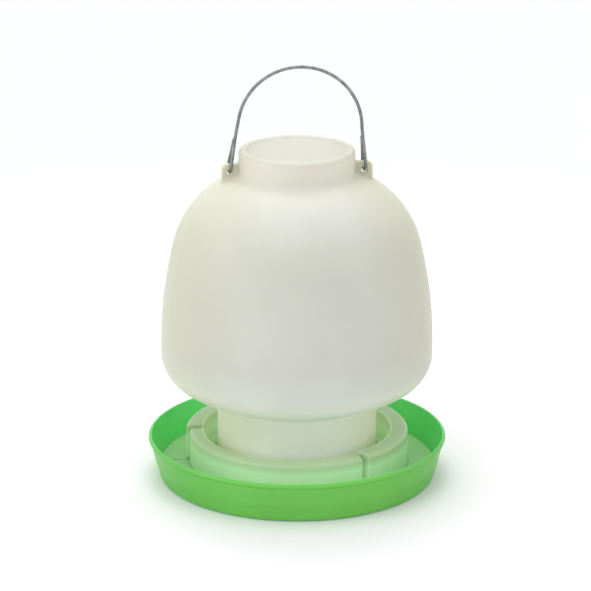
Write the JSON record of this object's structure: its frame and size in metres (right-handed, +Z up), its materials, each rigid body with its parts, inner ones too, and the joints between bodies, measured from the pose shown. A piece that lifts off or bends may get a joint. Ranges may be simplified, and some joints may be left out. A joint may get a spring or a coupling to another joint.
{
  "type": "poultry waterer fount",
  "caption": "Gravity drinker for poultry: domed natural plastic reservoir with a wire bail, standing neck down in a shallow green drinking tray with a split trough ring.",
  "frame": {"origin": "centre of the tray's flat base, where it stands on the floor", "axes": "+Z up along the fount's axis; +X through the right-hand lug, along the bail's pivot; -Y is the front, where the front piece of the trough ring is"},
  "size_m": [0.3, 0.3, 0.4226],
  "materials": {
    "natural_plastic": "natural polyethylene, slightly translucent, fine moulded grain",
    "ring_plastic": "natural polyethylene, smooth",
    "green_plastic": "light green polypropylene, satin",
    "galvanised_wire": "galvanised wire, dull grey"
  },
  "bodies": {
    "tray": {"tray": "green_plastic"},
    "ring_rear": {"trough_ring_rear": "ring_plastic"},
    "ring_front": {"trough_ring_front": "ring_plastic"},
    "fount": {"fount": "natural_plastic"},
    "bail": {"bail": "galvanised_wire"}
  },
  "joints": [
    {"name": "fount_twist", "type": "hinge", "parent": "tray", "child": "ring_rear", "pos_m": [0, 0, 0], "axis": [0, 0, -1], "range_deg": [0, 23.5]},
    {"name": "fount_lift", "type": "slide", "parent": "ring_rear", "child": "fount", "axis": [0, 0, 1], "range_m": [0, 0.1]},
    {"name": "bail_swing", "type": "hinge", "parent": "fount", "child": "bail", "pos_m": [0, 0, 0.3226], "axis": [1, 0, 0], "range_deg": [-95, 95]},
    {"name": "ring_front_lift", "type": "slide", "parent": "ring_rear", "child": "ring_front", "axis": [0, 0, 1], "range_m": [0, 0.03]}
  ]
}
